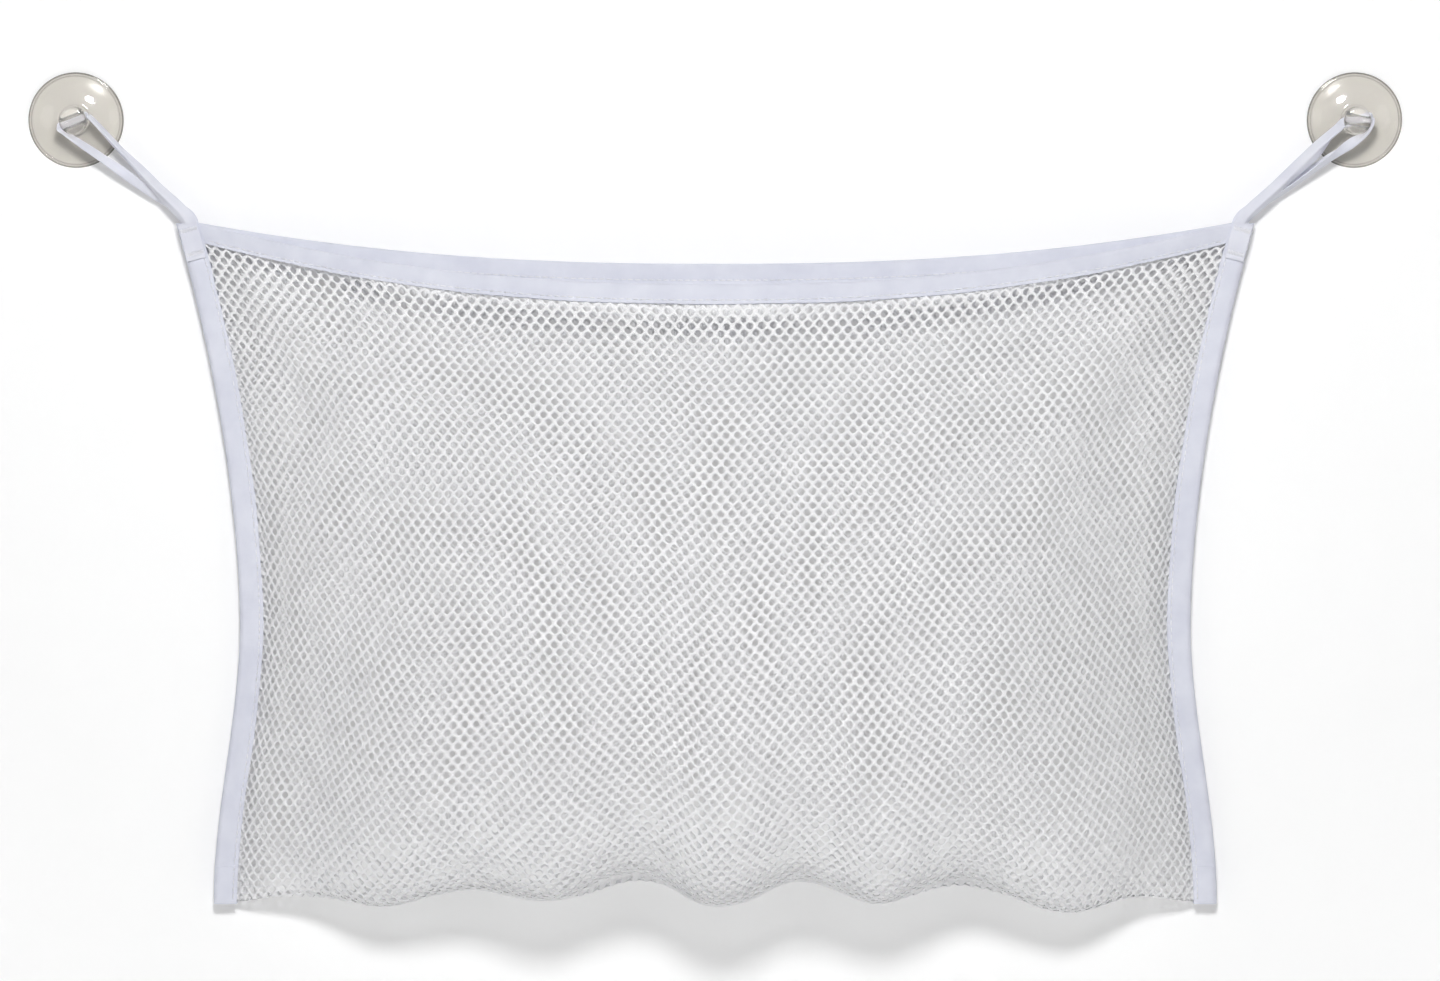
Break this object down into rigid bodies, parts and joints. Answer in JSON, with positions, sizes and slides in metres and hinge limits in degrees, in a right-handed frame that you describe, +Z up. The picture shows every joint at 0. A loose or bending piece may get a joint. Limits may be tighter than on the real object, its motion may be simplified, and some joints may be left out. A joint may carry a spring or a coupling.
{
  "type": "bath toy organizer",
  "caption": "Net bag with taped edges that hangs on a smooth bathroom wall from clear suction cups by ribbon loops, open at the top to hold and drain bath toys.",
  "frame": {"origin": "on the wall, midway between the centres of the two suction cups", "axes": "+X to the right along the line of the cups, +Y into the wall, +Z up"},
  "size_m": [0.576, 0.09, 0.351],
  "materials": {
    "clear_pvc": "clear glossy soft PVC",
    "net": "knitted polyester net",
    "tape": "woven polyester tape",
    "ribbon": "woven polyester ribbon",
    "thread": "polyester sewing thread"
  },
  "bodies": {
    "wall_cups": {"left_suction_cup": "clear_pvc", "right_suction_cup": "clear_pvc"},
    "hanging_loops": {"left_hanging_loop": "ribbon", "right_hanging_loop": "ribbon"},
    "bag": {"front_net": "net", "rear_net": "net", "rear_hem": "tape", "rear_hem_stitching": "thread", "left_side_binding": "tape", "left_side_stitching": "thread", "left_upper_tack": "thread", "left_lower_tack": "thread", "right_side_binding": "tape", "right_side_stitching": "thread", "right_upper_tack": "thread", "right_lower_tack": "thread"},
    "mouth_hem": {"front_hem": "tape", "front_hem_stitching": "thread"}
  },
  "joints": [
    {"name": "loop_swing", "type": "hinge", "parent": "wall_cups", "child": "hanging_loops", "pos_m": [0, -0.009, 0], "axis": [-1, 0, 0], "range_deg": [0, 60]},
    {"name": "bag_tilt", "type": "hinge", "parent": "hanging_loops", "child": "bag", "pos_m": [0, -0.0057, -0.043], "axis": [-1, 0, 0], "range_deg": [0, 60], "deforming": ["left_hanging_loop", "right_hanging_loop"]},
    {"name": "mouth_open", "type": "hinge", "parent": "bag", "child": "mouth_hem", "pos_m": [0, -0.0074, -0.043], "axis": [-1, 0, 0], "range_deg": [0, 45], "deforming": ["front_net"]}
  ]
}
